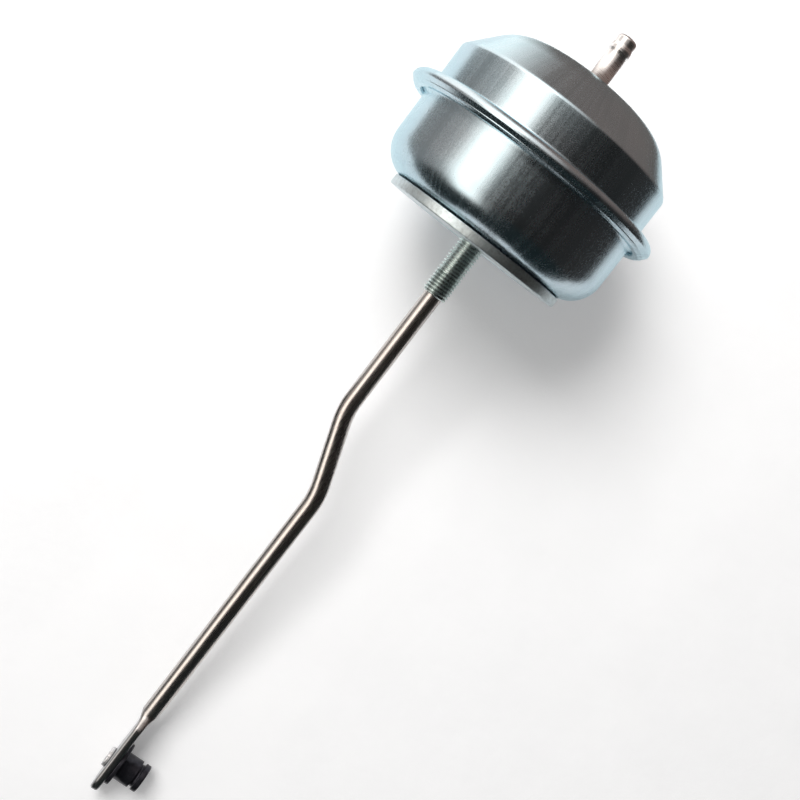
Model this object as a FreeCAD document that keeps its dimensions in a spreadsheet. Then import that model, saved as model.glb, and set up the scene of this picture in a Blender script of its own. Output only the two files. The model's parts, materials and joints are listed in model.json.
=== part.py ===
import FreeCAD, Part
import math
import os
import Sketcher

# Diaphragm actuator of a turbocharger. All sizes are in millimetres.
# The underside of the mounting plate is Z = 0, +Z runs through the can to the
# hose nipple, and +X is the way the lever pin points at the end of the rod.

SIZES = {
    # Round mounting plate under the can
    "plate_overhang": 2.8,
    "plate_thick": 2.75,
    "plate_edge": 0.3,
    # Threaded neck with its collar and bearing boss inside the can
    "neck_radius": 4.0,
    "neck_length": 17.3,
    "neck_bevel": 0.6,
    "shank_step": 0.4,
    "rod_gap": 0.2,
    "collar_step": 2.0,
    "collar_thick": 2.5,
    "boss_wall": 2.0,
    "boss_height": 11.25,
    "boss_floor_thick": 1.75,
    "wiper_height": 2.0,
    "wiper_groove": 0.5,
    "bush_wall": 2.2,
    "bush_flange_reach": 1.2,
    "bush_flange_thick": 1.0,
    "running_gap": 0.05,
    # Pressed sheet cans and the rolled seam that joins them
    "can_sheet": 1.0,
    "lower_radius": 34.85,
    "lower_corner": 9.65,
    "upper_step": 0.4,
    "seam_bottom": 24.35,
    "seam_reach": 5.5,
    "curl_radius": 2.2,
    "lip_gap": 1.55,
    "dome_height": 23.25,
    "dome_drop": 11.9,
    "dome_slope": 49.0,
    "dome_round": 13.5,
    # Hose nipple
    "nipple_radius": 2.95,
    "nipple_wall": 1.1,
    "nipple_seat_step": 0.45,
    "nipple_foot_reach": 1.8,
    "nipple_foot_thick": 1.0,
    "nipple_length": 17.05,
    "nipple_tip_step": 0.1,
    "nipple_round": 0.9,
    "barb_bulge": 0.2,
    "barb_rise": 12.55,
    "barb_land": 0.9,
    "barb_slope": 0.7,
    "barb_taper": 1.1,
    "braze_size": 1.3,
    # Piston group
    "stroke": 12.0,
    "piston_corner": 3.0,
    "cup_sheet": 1.2,
    "skirt_length": 18.0,
    "wall_gap": 0.1,
    "rubber": 0.8,
    "fold_drop": 3.4,
    "fold_radius": 2.475,
    "bead_inset": 0.35,
    "retainer_inset": 3.6,
    "retainer_thick": 1.2,
    "retainer_edge": 0.4,
    "rivet_washer_reach": 3.25,
    "rivet_washer_thick": 1.2,
    "backing_reach": 5.25,
    "backing_thick": 1.5,
    "bumper_radius": 8.5,
    "bumper_wall": 3.0,
    "bumper_height": 5.0,
    "bumper_gap": 0.2,
    "bumper_notch_half": 1.5,
    "bumper_notch_depth": 2.0,
    "sleeve_gap": 0.55,
    "sleeve_wall": 2.7,
    "stop_gap": 0.3,
    # Return spring and its two seats
    "spring_gap": 4.2,
    "spring_wire_radius": 1.7,
    "spring_turns": 6.5,
    "spring_grind": 0.5,
    "seat_sheet": 1.0,
    "seat_gap": 0.2,
    "seat_rim": 1.3,
    "seat_lip_gap": 0.6,
    "seat_lip_height": 3.0,
    "upper_seat_gap": 2.0,
    # Rod with its S-bend and flattened eye
    "rod_radius": 2.75,
    "spigot_step": 0.5,
    "rod_head_reach": 1.95,
    "rod_head_height": 2.0,
    "rod_head_round": 1.4,
    "straight_sweep": 24.35,
    "bend_start": 53.85,
    "bend_radius": 25.0,
    "bend_degrees": 18.6,
    "rod_offset": 8.55,
    "eye_taper_start": 165.05,
    "eye_taper_length": 5.0,
    "eye_flat_length": 24.75,
    "eye_half_width": 6.0,
    "eye_half_thick": 1.3,
    "eye_edge_round": 0.9,
    # Lever pin riveted through the eye
    "pin_inset": 14.55,
    "pin_shank_radius": 2.3,
    "pin_rivet_reach": 0.7,
    "pin_rivet_height": 1.3,
    "pin_rivet_bevel": 0.6,
    "pin_flange_reach": 2.3,
    "pin_flange_thick": 1.2,
    "pin_journal_radius": 4.2,
    "pin_journal_length": 5.1,
    "pin_groove_depth": 0.8,
    "pin_groove_width": 1.1,
    "pin_land": 1.7,
    "pin_bevel": 0.5,
}

FULL_TURN = 360.0
BUMPER_NOTCHES = 4

os.makedirs("parts", exist_ok=True)
doc = FreeCAD.newDocument("turbo_actuator")
sheet = doc.addObject("Spreadsheet::Sheet", "Sizes")


def fill_sheet():
    """Write every size into the sheet under its own name."""
    for row, name in enumerate(SIZES, start=1):
        sheet.set("A%d" % row, name)
        sheet.set("B%d" % row, str(SIZES[name]))
        sheet.setAlias("B%d" % row, name)
    doc.recompute()


def total(text):
    """Value of a sum such as 'plate_thick + can_sheet'."""
    sign = 1
    result = 0.0
    for word in text.split():
        if word == "+":
            sign = 1
        elif word == "-":
            sign = -1
        else:
            result += sign * SIZES[word]
            sign = 1
    return result


def formula(text):
    """The same sum as an expression on the sheet."""
    words = []
    for word in text.split():
        words.append("Sizes." + word if word in SIZES else word)
    return " ".join(words)


def opposite(text):
    """The sum with every sign turned round."""
    words = []
    sign = "-"
    for word in text.split():
        if word in ("+", "-"):
            sign = "-" if word == "+" else "+"
            continue
        words.append(sign + " " + word)
        sign = "-"
    return " ".join(words)


def start_value(value):
    """Start value of a coordinate: a sum is held, a plain number is free."""
    if isinstance(value, str):
        return total(value) if value != "axis" else 0.0
    return value


def hold(sketch, kind, place, value):
    """Hold one coordinate of a sketch point to its sum."""
    if not isinstance(value, str):
        return
    geometry, end = place
    if value == "axis":
        line = -2 if kind == "DistanceX" else -1
        sketch.addConstraint(Sketcher.Constraint("PointOnObject", geometry, end, line))
        return
    number = total(value)
    if number > 0:
        index = sketch.addConstraint(Sketcher.Constraint(kind, -1, 1, geometry, end, number))
        sketch.setExpression("Constraints[%d]" % index, formula(value))
    else:
        index = sketch.addConstraint(Sketcher.Constraint(kind, geometry, end, -1, 1, -number))
        sketch.setExpression("Constraints[%d]" % index, "-1 * (" + formula(value) + ")")


def hold_number(sketch, kind, geometry, value):
    """Hold a radius or a length of one sketch curve."""
    index = sketch.addConstraint(Sketcher.Constraint(kind, geometry, total(value)))
    sketch.setExpression("Constraints[%d]" % index, formula(value))


def new_body(name):
    """A new body whose label is the name of its part."""
    body = doc.addObject("PartDesign::Body", name)
    body.Label = name
    return body


def origin_part(body, role):
    """One of the body's own origin planes or axes."""
    for feature in body.Origin.OriginFeatures:
        if feature.Role == role:
            return feature
    raise ValueError(role)


def new_sketch(body, name, role="XZ_Plane", lift=None):
    """A sketch on an origin plane, lifted along the plane's normal if asked."""
    sketch = body.newObject("Sketcher::SketchObject", name)
    sketch.AttachmentSupport = (origin_part(body, role), [""])
    sketch.MapMode = "FlatFace"
    if lift is not None:
        sketch.setExpression(".AttachmentOffset.Base.z", formula(lift))
    return sketch


def draw_outline(sketch, corners, arcs):
    """Closed outline through the corners.

    arcs gives, for the corner it starts at, the centre, the radius or None,
    and 1 for a left turn or -1 for a right turn.
    """
    count = len(corners)
    points = [FreeCAD.Vector(start_value(x), start_value(y), 0) for x, y in corners]
    ends = []
    for i in range(count):
        first = points[i]
        last = points[(i + 1) % count]
        if i not in arcs:
            geometry = sketch.addGeometry(Part.LineSegment(first, last), False)
            ends.append((geometry, 1, 2))
            continue
        centre_x, centre_y, radius, turn = arcs[i]
        centre = FreeCAD.Vector(start_value(centre_x), start_value(centre_y), 0)
        size = (first - centre).Length
        angle_first = math.atan2(first.y - centre.y, first.x - centre.x)
        angle_last = math.atan2(last.y - centre.y, last.x - centre.x)
        circle = Part.Circle(centre, FreeCAD.Vector(0, 0, 1), size)
        if turn < 0:
            angle_first, angle_last = angle_last, angle_first
        if angle_last <= angle_first:
            angle_last += 2 * math.pi
        geometry = sketch.addGeometry(Part.ArcOfCircle(circle, angle_first, angle_last), False)
        ends.append((geometry, 1, 2) if turn > 0 else (geometry, 2, 1))
    for i in range(count):
        here = ends[i]
        after = ends[(i + 1) % count]
        joined = Sketcher.Constraint("Coincident", here[0], here[2], after[0], after[1])
        sketch.addConstraint(joined)
    for i in range(count):
        place = (ends[i][0], ends[i][1])
        hold(sketch, "DistanceX", place, corners[i][0])
        hold(sketch, "DistanceY", place, corners[i][1])
        if i in arcs:
            centre_x, centre_y, radius, turn = arcs[i]
            hold(sketch, "DistanceX", (ends[i][0], 3), centre_x)
            hold(sketch, "DistanceY", (ends[i][0], 3), centre_y)
            if radius is not None:
                hold_number(sketch, "Radius", ends[i][0], radius)


def turn(body, sketch, name):
    """Revolve a sketch about its own vertical axis."""
    feature = body.newObject("PartDesign::Revolution", name)
    feature.Profile = sketch
    feature.ReferenceAxis = (sketch, ["V_Axis"])
    feature.Angle = FULL_TURN
    return feature


def turned_part(name, corners, arcs=None):
    """A body turned about Z from an outline in radius and height."""
    body = new_body(name)
    sketch = new_sketch(body, name + "_outline")
    draw_outline(sketch, corners, arcs or {})
    turn(body, sketch, name + "_turned")
    return body


def ring_part(name, inner, outer, bottom, top):
    """A plain ring."""
    corners = [(inner, bottom), (outer, bottom), (outer, top), (inner, top)]
    return turned_part(name, corners)


# Radii that several parts share
PLATE_RIM = "lower_radius - lower_corner + plate_overhang"
SHANK = "neck_radius + shank_step"
NECK_BORE = "rod_radius + rod_gap"
BEARING = "rod_radius + running_gap"
BOSS_BORE = BEARING + " + bush_wall"
BOSS = BOSS_BORE + " + boss_wall"
COLLAR = BOSS + " + collar_step"
SEAM = "lower_radius + seam_reach"
CURL_CENTRE = SEAM + " - curl_radius"
UPPER = "lower_radius - upper_step"
LIP = "lower_radius + lip_gap"
OUTER_LEG = "lower_radius - can_sheet - wall_gap"
FOLD = OUTER_LEG + " - fold_radius"
PISTON = FOLD + " - fold_radius"
SPRING = PISTON + " - cup_sheet - spring_gap - spring_wire_radius"
SEAT_RIM = SPRING + " + spring_wire_radius + seat_rim"
SEAT_LIP = SPRING + " - spring_wire_radius - seat_lip_gap"
SPIGOT = "rod_radius - spigot_step"
BACKING = "rod_radius + backing_reach"
SLEEVE_BORE = "rod_radius + sleeve_gap"
NIPPLE_BORE = "nipple_radius - nipple_wall"
NIPPLE_TIP = "nipple_radius - nipple_tip_step"
NIPPLE_SEAT = "nipple_radius + nipple_seat_step"
BUMPER_RIM = "bumper_radius + bumper_wall"

# Heights that several parts share
CAN_FLOOR = "plate_thick + can_sheet"
COLLAR_TOP = CAN_FLOOR + " + collar_thick"
BOSS_FLOOR = CAN_FLOOR + " + boss_floor_thick"
BOSS_TOP = CAN_FLOOR + " + boss_height"
WIPER_TOP = BOSS_FLOOR + " + wiper_height"
BUSH_TOP = BOSS_TOP + " + bush_flange_thick"
FLANGE_BOTTOM = "seam_bottom + can_sheet"
FLANGE_TOP = "seam_bottom + can_sheet + can_sheet"
FOLD_HEIGHT = FLANGE_TOP + " - fold_drop"
SEAM_TOP = "seam_bottom + curl_radius + curl_radius"
DOME_TOP = SEAM_TOP + " + dome_height"
DOME_INSIDE = DOME_TOP + " - can_sheet"
SHOULDER = DOME_TOP + " - dome_drop"
BUMPER_TOP = DOME_INSIDE + " - bumper_gap"
RETAINER_TOP = BUMPER_TOP + " - bumper_height"
RUBBER_TOP = RETAINER_TOP + " - retainer_thick"
PISTON_TOP = RUBBER_TOP + " - rubber"
CROWN_BOTTOM = PISTON_TOP + " - cup_sheet"
ROD_SHOULDER = CROWN_BOTTOM + " - backing_thick"
HEAD_BOTTOM = RETAINER_TOP + " + rivet_washer_thick"
BARB = DOME_TOP + " + barb_rise"
NIPPLE_END = DOME_TOP + " + nipple_length"
SWEEP_START = "- bend_start + straight_sweep"
EYE_FLAT = "- eye_taper_start - eye_taper_length"
PIN_HEIGHT = EYE_FLAT + " - pin_inset"


def make_plate():
    turned_part("mounting_plate", [
        (SHANK, "axis"),
        (PLATE_RIM + " - plate_edge", "axis"),
        (PLATE_RIM, "plate_edge"),
        (PLATE_RIM, "plate_thick - plate_edge"),
        (PLATE_RIM + " - plate_edge", "plate_thick"),
        (SHANK, "plate_thick"),
    ])


def make_neck():
    turned_part("threaded_neck", [
        (NECK_BORE, "- neck_length"),
        ("neck_radius - neck_bevel", "- neck_length"),
        ("neck_radius", "- neck_length + neck_bevel"),
        ("neck_radius", "axis"),
        (SHANK, "axis"),
        (SHANK, CAN_FLOOR),
        (COLLAR, CAN_FLOOR),
        (COLLAR, COLLAR_TOP),
        (BOSS, COLLAR_TOP),
        (BOSS, BOSS_TOP),
        (BOSS_BORE, BOSS_TOP),
        (BOSS_BORE, BOSS_FLOOR),
        (NECK_BORE, BOSS_FLOOR),
    ])


def make_bearing():
    turned_part("dust_wiper", [
        (BEARING, BOSS_FLOOR),
        (BOSS_BORE, BOSS_FLOOR),
        (BOSS_BORE, WIPER_TOP),
        (BEARING + " + wiper_groove", WIPER_TOP),
        (BEARING, WIPER_TOP + " - wiper_groove"),
    ])
    turned_part("guide_bush", [
        (BEARING, WIPER_TOP),
        (BOSS_BORE, WIPER_TOP),
        (BOSS_BORE, BOSS_TOP),
        (BOSS_BORE + " + bush_flange_reach", BOSS_TOP),
        (BOSS_BORE + " + bush_flange_reach", BUSH_TOP),
        (BEARING, BUSH_TOP),
    ])
    ring_part("travel_stop_sleeve", SLEEVE_BORE, SLEEVE_BORE + " + sleeve_wall",
              BUSH_TOP, ROD_SHOULDER + " - stroke - stop_gap")


def make_lower_shell():
    corner_x = "lower_radius - lower_corner"
    corner_z = "plate_thick + lower_corner"
    outside = total("lower_radius")
    inside_floor = total(CAN_FLOOR)
    turned_part("lower_shell", [
        (SHANK, "plate_thick"),
        (corner_x, "plate_thick"),
        (outside, corner_z),
        ("lower_radius", FLANGE_BOTTOM),
        (CURL_CENTRE, FLANGE_BOTTOM),
        (CURL_CENTRE, FLANGE_TOP),
        ("lower_radius - can_sheet", FLANGE_TOP),
        ("lower_radius - can_sheet", corner_z),
        (corner_x, inside_floor),
        (SHANK, CAN_FLOOR),
    ], {
        1: (corner_x, corner_z, None, 1),
        7: (corner_x, corner_z, None, -1),
    })


def make_upper_shell():
    """Dome can whose rim is rolled round the flange of the lower can."""
    curl_z = "seam_bottom + curl_radius"
    inner_wall = UPPER + " - can_sheet"
    slope = math.radians(total("dome_slope"))
    outer_round = total("dome_round")
    inner_round = outer_round - total("can_sheet")
    flat_x = total(UPPER) - total("dome_drop") / math.tan(slope)
    flat_x -= outer_round * math.tan(slope / 2)
    round_z = total(DOME_TOP) - outer_round
    outer_x = flat_x + outer_round * math.sin(slope)
    outer_z = round_z + outer_round * math.cos(slope)
    inner_x = flat_x + inner_round * math.sin(slope)
    inner_z = round_z + inner_round * math.cos(slope)
    inner_shoulder = inner_z - (total(inner_wall) - inner_x) * math.tan(slope)
    body = new_body("upper_shell")
    sketch = new_sketch(body, "upper_shell_outline")
    draw_outline(sketch, [
        (NIPPLE_SEAT, DOME_INSIDE),
        (flat_x, DOME_INSIDE),
        (inner_x, inner_z),
        (inner_wall, inner_shoulder),
        (inner_wall, SEAM_TOP + " - can_sheet"),
        (CURL_CENTRE, SEAM_TOP + " - can_sheet"),
        (CURL_CENTRE, total("seam_bottom + can_sheet")),
        (LIP, "seam_bottom + can_sheet"),
        (LIP, "seam_bottom"),
        (CURL_CENTRE, "seam_bottom"),
        (CURL_CENTRE, total(SEAM_TOP)),
        (UPPER, SEAM_TOP),
        (UPPER, SHOULDER),
        (outer_x, outer_z),
        (flat_x, DOME_TOP),
        (NIPPLE_SEAT, DOME_TOP),
    ], {
        1: (flat_x, round_z, None, -1),
        5: (CURL_CENTRE, curl_z, None, -1),
        9: (CURL_CENTRE, curl_z, None, 1),
        13: (flat_x, round_z, "dome_round", 1),
    })
    # The cone of the dome runs into the rounded crown without a corner, inside and out
    cone, inner_cone, crown, inner_crown = 12, 2, 13, 1
    centre = FreeCAD.Vector(flat_x, round_z, 0)
    spoke = sketch.addGeometry(Part.LineSegment(centre, FreeCAD.Vector(outer_x, outer_z, 0)), True)
    for held in (
        ("Coincident", inner_crown, 3, crown, 3),
        ("Vertical", crown, 3, crown, 2),
        ("Vertical", inner_crown, 3, inner_crown, 2),
        ("Coincident", spoke, 1, crown, 3),
        ("Coincident", spoke, 2, crown, 1),
        ("Perpendicular", spoke, cone),
        ("Parallel", inner_cone, cone),
        ("PointOnObject", inner_crown, 1, spoke),
    ):
        sketch.addConstraint(Sketcher.Constraint(*held))
    lean = sketch.addConstraint(Sketcher.Constraint("Angle", cone, math.pi - slope))
    sketch.setExpression("Constraints[%d]" % lean, "180 deg - " + formula("dome_slope") + " * 1 deg")
    turn(body, sketch, "upper_shell_turned")


def make_nipple():
    foot = DOME_INSIDE + " - nipple_foot_thick"
    turned_part("hose_nipple", [
        (NIPPLE_BORE, foot),
        ("nipple_radius + nipple_foot_reach", foot),
        ("nipple_radius + nipple_foot_reach", DOME_INSIDE),
        (NIPPLE_SEAT, DOME_INSIDE),
        (NIPPLE_SEAT, DOME_TOP + " + braze_size"),
        ("nipple_radius", DOME_TOP + " + braze_size"),
        ("nipple_radius", BARB + " - barb_slope"),
        ("nipple_radius + barb_bulge", BARB),
        ("nipple_radius + barb_bulge", BARB + " + barb_land"),
        (NIPPLE_TIP, BARB + " + barb_land + barb_taper"),
        (NIPPLE_TIP, NIPPLE_END + " - nipple_round"),
        (NIPPLE_TIP + " - nipple_round", total(NIPPLE_END)),
        (NIPPLE_BORE, NIPPLE_END),
    ], {
        10: (NIPPLE_TIP + " - nipple_round", NIPPLE_END + " - nipple_round", None, 1),
    })
    edge_x = NIPPLE_SEAT + " + braze_size"
    edge_z = DOME_TOP + " + braze_size"
    turned_part("nipple_braze", [
        (NIPPLE_SEAT, DOME_TOP),
        (edge_x, DOME_TOP),
        (total(NIPPLE_SEAT), edge_z),
    ], {
        1: (edge_x, edge_z, None, -1),
    })


def make_piston_group():
    corner_x = PISTON + " - piston_corner"
    corner_z = PISTON_TOP + " - piston_corner"
    turned_part("piston_cup", [
        (SPIGOT, CROWN_BOTTOM),
        (corner_x, CROWN_BOTTOM),
        (total(PISTON + " - cup_sheet"), corner_z),
        (PISTON + " - cup_sheet", PISTON_TOP + " - skirt_length"),
        (PISTON, PISTON_TOP + " - skirt_length"),
        (PISTON, corner_z),
        (corner_x, total(PISTON_TOP)),
        (SPIGOT, PISTON_TOP),
    ], {
        1: (corner_x, corner_z, None, -1),
        5: (corner_x, corner_z, None, 1),
    })
    ring_part("backing_washer", SPIGOT, BACKING, ROD_SHOULDER, CROWN_BOTTOM)
    rim = corner_x + " - retainer_inset"
    turned_part("retainer_plate", [
        (SPIGOT, RUBBER_TOP),
        (rim + " - retainer_edge", RUBBER_TOP),
        (rim, RUBBER_TOP + " + retainer_edge"),
        (rim, RETAINER_TOP),
        (SPIGOT, RETAINER_TOP),
    ])
    ring_part("rivet_washer", SPIGOT, SPIGOT + " + rivet_washer_reach", RETAINER_TOP, HEAD_BOTTOM)


def make_diaphragm():
    """Rolling diaphragm: flat crown, inner leg, fold, outer leg, clamped bead."""
    corner_x = PISTON + " - piston_corner"
    corner_z = PISTON_TOP + " - piston_corner"
    bead_top = SEAM_TOP + " - can_sheet"
    turned_part("diaphragm", [
        (SPIGOT, PISTON_TOP),
        (corner_x, PISTON_TOP),
        (total(PISTON), corner_z),
        (PISTON, FOLD_HEIGHT),
        (total(OUTER_LEG), FOLD_HEIGHT),
        (OUTER_LEG, FLANGE_TOP),
        (CURL_CENTRE, FLANGE_TOP),
        (CURL_CENTRE, bead_top),
        ("lower_radius + bead_inset", bead_top),
        ("lower_radius + bead_inset", FLANGE_TOP + " + rubber"),
        (OUTER_LEG + " - rubber", FLANGE_TOP + " + rubber"),
        (OUTER_LEG + " - rubber", FOLD_HEIGHT),
        (total(PISTON + " + rubber"), FOLD_HEIGHT),
        (PISTON + " + rubber", corner_z),
        (corner_x, total(RUBBER_TOP)),
        (SPIGOT, RUBBER_TOP),
    ], {
        1: (corner_x, corner_z, None, -1),
        3: (FOLD, FOLD_HEIGHT, None, 1),
        11: (FOLD, FOLD_HEIGHT, None, -1),
        13: (corner_x, corner_z, None, 1),
    })


def make_bumper():
    """Rubber ring with notches that let the pressure through."""
    body = ring_part("top_bumper", "bumper_radius", BUMPER_RIM,
                     RETAINER_TOP, BUMPER_TOP)
    sketch = new_sketch(body, "top_bumper_notch_outline")
    low = BUMPER_TOP + " - bumper_notch_depth"
    high = BUMPER_TOP + " + bumper_notch_depth"
    draw_outline(sketch, [
        ("- bumper_notch_half", low),
        ("bumper_notch_half", low),
        ("bumper_notch_half", high),
        ("- bumper_notch_half", high),
    ], {})
    notch = body.newObject("PartDesign::Pocket", "top_bumper_notch")
    notch.Profile = sketch
    notch.Reversed = True
    notch.setExpression("Length", formula(BUMPER_RIM + " + bumper_notch_depth"))
    pattern = body.newObject("PartDesign::PolarPattern", "top_bumper_notches")
    pattern.Originals = [notch]
    pattern.Axis = (origin_part(body, "Z_Axis"), [""])
    pattern.Angle = FULL_TURN
    pattern.Occurrences = BUMPER_NOTCHES
    body.Tip = pattern


def make_spring_seats():
    low = CAN_FLOOR
    bore = COLLAR + " + seat_gap"
    low_top = low + " + seat_sheet"
    turned_part("lower_spring_seat", [
        (bore, low),
        (SEAT_RIM, low),
        (SEAT_RIM, low_top),
        (SEAT_LIP, low_top),
        (SEAT_LIP, low_top + " + seat_lip_height"),
        (SEAT_LIP + " - seat_sheet", low_top + " + seat_lip_height"),
        (SEAT_LIP + " - seat_sheet", low_top),
        (bore, low_top),
    ])
    high = CROWN_BOTTOM
    high_low = high + " - seat_sheet"
    turned_part("upper_spring_seat", [
        (BACKING + " + upper_seat_gap", high),
        (BACKING + " + upper_seat_gap", high_low),
        (SEAT_LIP + " - seat_sheet", high_low),
        (SEAT_LIP + " - seat_sheet", high_low + " - seat_lip_height"),
        (SEAT_LIP, high_low + " - seat_lip_height"),
        (SEAT_LIP, high_low),
        (SEAT_RIM, high_low),
        (SEAT_RIM, high),
    ])


def make_spring():
    """Round wire wound between the seats, with both ends ground flat."""
    bottom = CAN_FLOOR + " + seat_sheet"
    top = CROWN_BOTTOM + " - seat_sheet"
    body = new_body("return_spring")
    sketch = new_sketch(body, "return_spring_wire")
    first_turn = bottom + " + spring_wire_radius - spring_grind"
    centre = FreeCAD.Vector(total(SPRING), total(first_turn), 0)
    circle = Part.Circle(centre, FreeCAD.Vector(0, 0, 1), total("spring_wire_radius"))
    sketch.addGeometry(circle, False)
    hold(sketch, "DistanceX", (0, 3), SPRING)
    hold(sketch, "DistanceY", (0, 3), first_turn)
    hold_number(sketch, "Radius", 0, "spring_wire_radius")
    coil = body.newObject("PartDesign::AdditiveHelix", "return_spring_coil")
    coil.Profile = sketch
    coil.ReferenceAxis = (sketch, ["V_Axis"])
    coil.Mode = 2
    climb = (top + " - spring_wire_radius + spring_grind "
             + opposite(first_turn))
    coil.setExpression("Height", formula(climb))
    coil.setExpression("Turns", formula("spring_turns"))
    inner = SPRING + " - spring_wire_radius - spring_wire_radius"
    outer = SPRING + " + spring_wire_radius + spring_wire_radius"
    reach = "spring_wire_radius + spring_wire_radius"
    for name, level, far in (
        ("low", bottom, bottom + " " + opposite(reach)),
        ("high", top, top + " + " + reach),
    ):
        cut = new_sketch(body, "return_spring_" + name + "_outline")
        draw_outline(cut, [(inner, level), (outer, level), (outer, far), (inner, far)], {})
        groove = body.newObject("PartDesign::Groove", "return_spring_" + name + "_ground")
        groove.Profile = cut
        groove.ReferenceAxis = (cut, ["V_Axis"])
        groove.Angle = FULL_TURN


def draw_rod_path(sketch):
    """Straight, bend, slanted straight, opposite bend, straight."""
    radius = total("bend_radius")
    slant = math.radians(total("bend_degrees"))
    offset = total("rod_offset")
    z_start = total(SWEEP_START)
    z_bend = -total("bend_start")
    z_end = -total("eye_taper_start")
    across = radius * (1 - math.cos(slant))
    down = radius * math.sin(slant)
    run = (offset - 2 * across) / math.tan(slant)
    z_second = z_bend - down - run
    z_last = z_second - down
    corners = [
        FreeCAD.Vector(0, z_start, 0),
        FreeCAD.Vector(0, z_bend, 0),
        FreeCAD.Vector(across, z_bend - down, 0),
        FreeCAD.Vector(offset - across, z_second, 0),
        FreeCAD.Vector(offset, z_last, 0),
        FreeCAD.Vector(offset, z_end, 0),
    ]
    normal = FreeCAD.Vector(0, 0, 1)
    first_circle = Part.Circle(FreeCAD.Vector(radius, z_bend, 0), normal, radius)
    second_circle = Part.Circle(FreeCAD.Vector(offset - radius, z_last, 0), normal, radius)
    sketch.addGeometry(Part.LineSegment(corners[0], corners[1]), False)
    sketch.addGeometry(Part.ArcOfCircle(first_circle, math.pi, math.pi + slant), False)
    sketch.addGeometry(Part.LineSegment(corners[2], corners[3]), False)
    sketch.addGeometry(Part.ArcOfCircle(second_circle, 0, slant), False)
    sketch.addGeometry(Part.LineSegment(corners[4], corners[5]), False)
    for first, first_end, last, last_end in (
        (0, 2, 1, 1), (1, 2, 2, 1), (2, 2, 3, 2), (3, 1, 4, 1),
    ):
        touching = Sketcher.Constraint("Tangent", first, first_end, last, last_end)
        sketch.addConstraint(touching)
    sketch.addConstraint(Sketcher.Constraint("Vertical", 0))
    sketch.addConstraint(Sketcher.Constraint("Vertical", 4))
    hold(sketch, "DistanceX", (0, 1), "axis")
    hold(sketch, "DistanceY", (0, 1), SWEEP_START)
    hold(sketch, "DistanceY", (0, 2), "- bend_start")
    hold(sketch, "DistanceX", (4, 2), "rod_offset")
    hold(sketch, "DistanceY", (4, 2), "- eye_taper_start")
    hold_number(sketch, "Radius", 1, "bend_radius")
    hold_number(sketch, "Radius", 3, "bend_radius")
    slope = sketch.addConstraint(Sketcher.Constraint("Angle", 3, slant))
    sketch.setExpression("Constraints[%d]" % slope, formula("bend_degrees") + " * 1 deg")


def draw_flat_oval(sketch, centre_x, half_thick, half_width):
    """Oval of two straights and two half rounds, long along Y."""
    x = total(centre_x)
    thick = total(half_thick)
    width = total(half_width)
    side = width - thick
    normal = FreeCAD.Vector(0, 0, 1)
    high = Part.Circle(FreeCAD.Vector(x, side, 0), normal, thick)
    low = Part.Circle(FreeCAD.Vector(x, -side, 0), normal, thick)
    right_low = FreeCAD.Vector(x + thick, -side, 0)
    right_high = FreeCAD.Vector(x + thick, side, 0)
    left_high = FreeCAD.Vector(x - thick, side, 0)
    left_low = FreeCAD.Vector(x - thick, -side, 0)
    sketch.addGeometry(Part.LineSegment(right_low, right_high), False)
    sketch.addGeometry(Part.ArcOfCircle(high, 0, math.pi), False)
    sketch.addGeometry(Part.LineSegment(left_high, left_low), False)
    sketch.addGeometry(Part.ArcOfCircle(low, math.pi, 2 * math.pi), False)
    for first, last in ((0, 1), (1, 2), (2, 3), (3, 0)):
        sketch.addConstraint(Sketcher.Constraint("Tangent", first, 2, last, 1))
    sketch.addConstraint(Sketcher.Constraint("Vertical", 0))
    hold(sketch, "DistanceX", (1, 3), centre_x)
    hold(sketch, "DistanceY", (1, 3), half_width + " - " + half_thick)
    hold(sketch, "DistanceY", (3, 3), "- " + half_width + " + " + half_thick)
    hold_number(sketch, "Radius", 1, half_thick)


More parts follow.
